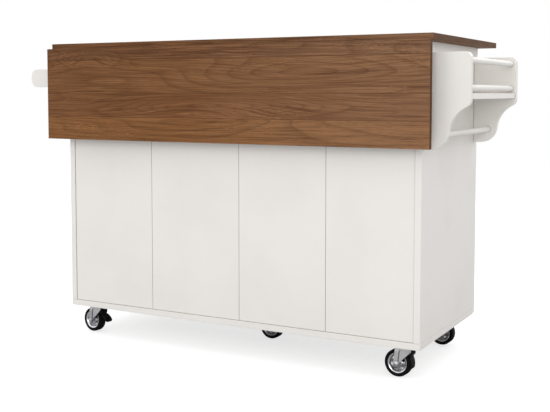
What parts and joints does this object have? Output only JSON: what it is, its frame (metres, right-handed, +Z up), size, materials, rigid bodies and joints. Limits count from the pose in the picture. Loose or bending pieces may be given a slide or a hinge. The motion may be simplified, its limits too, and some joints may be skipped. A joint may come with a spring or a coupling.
{
  "type": "drop leaf kitchen island",
  "caption": "Rolling kitchen island: cupboard carcass with doors and drawers, wooden worktop, hanging drop leaf, side spice rack and towel racks, on swivel casters.",
  "frame": {"origin": "on the floor under the middle of the whole island with its leaf hanging down", "axes": "+X towards the spice rack, -Y faces the drop leaf, +Z up"},
  "size_m": [1.446, 0.6072, 0.9145],
  "materials": {
    "walnut": "walnut grain, satin",
    "white_board": "white paint, satin",
    "white_rod": "white paint, satin",
    "pale_wood": "bare planed softwood",
    "drawer_board": "white foil",
    "hinge_steel": "nickel plate",
    "stay_steel": "bright zinc plate",
    "handle_nickel": "satin nickel",
    "caster_zinc": "bright zinc plate",
    "tyre_rubber": "matt black rubber",
    "rim_chrome": "polished",
    "black_steel": "black powder coat"
  },
  "bodies": {
    "cabinet": {"tabletop": "walnut", "bottom_board": "white_board", "side_panel_left": "white_board", "side_panel_right": "white_board", "centre_divider": "white_board", "carcass_strips": "pale_wood", "shelves": "white_board", "shelf_pins": "hinge_steel", "drawer_runners": "pale_wood", "rack_plates": "white_board", "rack_shelf": "white_board", "rack_rods": "white_rod", "towel_brackets": "white_board", "towel_rods": "white_rod", "leaf_hinge_fixed": "hinge_steel", "stay_brackets": "stay_steel", "caster_plates": "caster_zinc", "door_hinge_arms": "hinge_steel", "back_panel_1": "white_board", "back_panel_2": "white_board", "back_panel_3": "white_board", "back_panel_4": "white_board"},
    "leaf": {"drop_leaf": "walnut", "leaf_hinge_plates": "hinge_steel", "leaf_stay_rails": "stay_steel"},
    "left_stay": {"stay_left": "stay_steel"},
    "right_stay": {"stay_right": "stay_steel"},
    "door_1": {"door_1": "white_board", "door_fittings_1": "handle_nickel"},
    "door_2": {"door_2": "white_board", "door_fittings_2": "handle_nickel"},
    "door_3": {"door_3": "white_board", "door_fittings_3": "handle_nickel"},
    "door_4": {"door_4": "white_board", "door_fittings_4": "handle_nickel"},
    "drawer_left": {"drawer_front_left": "white_board", "drawer_box_left": "drawer_board", "drawer_handle_left": "handle_nickel"},
    "drawer_right": {"drawer_front_right": "white_board", "drawer_box_right": "drawer_board", "drawer_handle_right": "handle_nickel"},
    "caster_1": {"caster_fork_1": "caster_zinc", "brake_hood_1": "black_steel"},
    "wheel_1": {"caster_tyre_1": "tyre_rubber", "caster_rim_1": "rim_chrome"},
    "caster_2": {"caster_fork_2": "caster_zinc", "brake_hood_2": "black_steel"},
    "wheel_2": {"caster_tyre_2": "tyre_rubber", "caster_rim_2": "rim_chrome"},
    "caster_3": {"caster_fork_3": "caster_zinc"},
    "wheel_3": {"caster_tyre_3": "tyre_rubber", "caster_rim_3": "rim_chrome"},
    "caster_4": {"caster_fork_4": "caster_zinc"},
    "wheel_4": {"caster_tyre_4": "tyre_rubber", "caster_rim_4": "rim_chrome"},
    "caster_5": {"caster_fork_5": "caster_zinc"},
    "wheel_5": {"caster_tyre_5": "tyre_rubber", "caster_rim_5": "rim_chrome"},
    "pedal_1": {"brake_pedal_1": "black_steel"},
    "pedal_2": {"brake_pedal_2": "black_steel"}
  },
  "joints": [
    {"name": "leaf_fold", "type": "hinge", "parent": "cabinet", "child": "leaf", "pos_m": [0.0155, -0.28435, 0.8952], "axis": [-1, 0, 0], "range_deg": [0, 90]},
    {"name": "left_stay_fold", "type": "hinge", "parent": "cabinet", "child": "left_stay", "pos_m": [-0.2546, -0.26235, 0.8102], "axis": [-1, 0, 0], "range_deg": [0, 112.3]},
    {"name": "right_stay_fold", "type": "hinge", "parent": "cabinet", "child": "right_stay", "pos_m": [0.3235, -0.26235, 0.8102], "axis": [-1, 0, 0], "range_deg": [0, 112.3]},
    {"name": "door_1_swing", "type": "hinge", "parent": "cabinet", "child": "door_1", "pos_m": [-0.564, 0.24965, 0.417], "axis": [0, 0, 1], "range_deg": [0, 105]},
    {"name": "door_2_swing", "type": "hinge", "parent": "cabinet", "child": "door_2", "pos_m": [0.0475, 0.24965, 0.417], "axis": [0, 0, -1], "range_deg": [0, 86]},
    {"name": "door_3_swing", "type": "hinge", "parent": "cabinet", "child": "door_3", "pos_m": [0.0505, 0.24965, 0.417], "axis": [0, 0, 1], "range_deg": [0, 86]},
    {"name": "door_4_swing", "type": "hinge", "parent": "cabinet", "child": "door_4", "pos_m": [0.595, 0.24965, 0.417], "axis": [0, 0, -1], "range_deg": [0, 105]},
    {"name": "drawer_left_slide", "type": "slide", "parent": "cabinet", "child": "drawer_left", "axis": [0, 1, 0], "range_m": [0, 0.3]},
    {"name": "drawer_right_slide", "type": "slide", "parent": "cabinet", "child": "drawer_right", "axis": [0, 1, 0], "range_m": [0, 0.3]},
    {"name": "caster_1_swivel", "type": "hinge", "parent": "cabinet", "child": "caster_1", "pos_m": [-0.5, -0.19735, 0.08], "axis": [0, 0, 1], "continuous": true},
    {"name": "wheel_1_spin", "type": "hinge", "parent": "caster_1", "child": "wheel_1", "pos_m": [-0.51884, -0.19487, 0.0375], "axis": [0.1305, 0.9914, 0], "continuous": true},
    {"name": "caster_2_swivel", "type": "hinge", "parent": "cabinet", "child": "caster_2", "pos_m": [0.539, -0.19735, 0.08], "axis": [0, 0, 1], "continuous": true},
    {"name": "wheel_2_spin", "type": "hinge", "parent": "caster_2", "child": "wheel_2", "pos_m": [0.52003, -0.19636, 0.0375], "axis": [0.0523, 0.9986, 0], "continuous": true},
    {"name": "caster_3_swivel", "type": "hinge", "parent": "cabinet", "child": "caster_3", "pos_m": [-0.5, 0.17165, 0.08], "axis": [0, 0, 1], "continuous": true},
    {"name": "wheel_3_spin", "type": "hinge", "parent": "caster_3", "child": "wheel_3", "pos_m": [-0.51826, 0.17689, 0.0375], "axis": [0.2756, 0.9613, 0], "continuous": true},
    {"name": "caster_4_swivel", "type": "hinge", "parent": "cabinet", "child": "caster_4", "pos_m": [0.539, 0.17165, 0.08], "axis": [0, 0, 1], "continuous": true},
    {"name": "wheel_4_spin", "type": "hinge", "parent": "caster_4", "child": "wheel_4", "pos_m": [0.52003, 0.17264, 0.0375], "axis": [0.0523, 0.9986, 0], "continuous": true},
    {"name": "caster_5_swivel", "type": "hinge", "parent": "cabinet", "child": "caster_5", "pos_m": [0.049, -0.00935, 0.08], "axis": [0, 0, 1], "continuous": true},
    {"name": "wheel_5_spin", "type": "hinge", "parent": "caster_5", "child": "wheel_5", "pos_m": [0.03003, -0.00836, 0.0375], "axis": [0.0523, 0.9986, 0], "continuous": true},
    {"name": "brake_1_press", "type": "hinge", "parent": "caster_1", "child": "pedal_1", "pos_m": [-0.48112, -0.19984, 0.06617], "axis": [0.1305, 0.9914, 0], "range_deg": [0, 42]},
    {"name": "brake_2_release", "type": "hinge", "parent": "caster_2", "child": "pedal_2", "pos_m": [0.55802, -0.19835, 0.06617], "axis": [-0.0523, -0.9986, 0], "range_deg": [0, 42]}
  ],
  "couplings": [
    {"joint": "left_stay_fold", "follows": "leaf_fold", "ratio": 1.2467},
    {"joint": "right_stay_fold", "follows": "leaf_fold", "ratio": 1.2467}
  ]
}
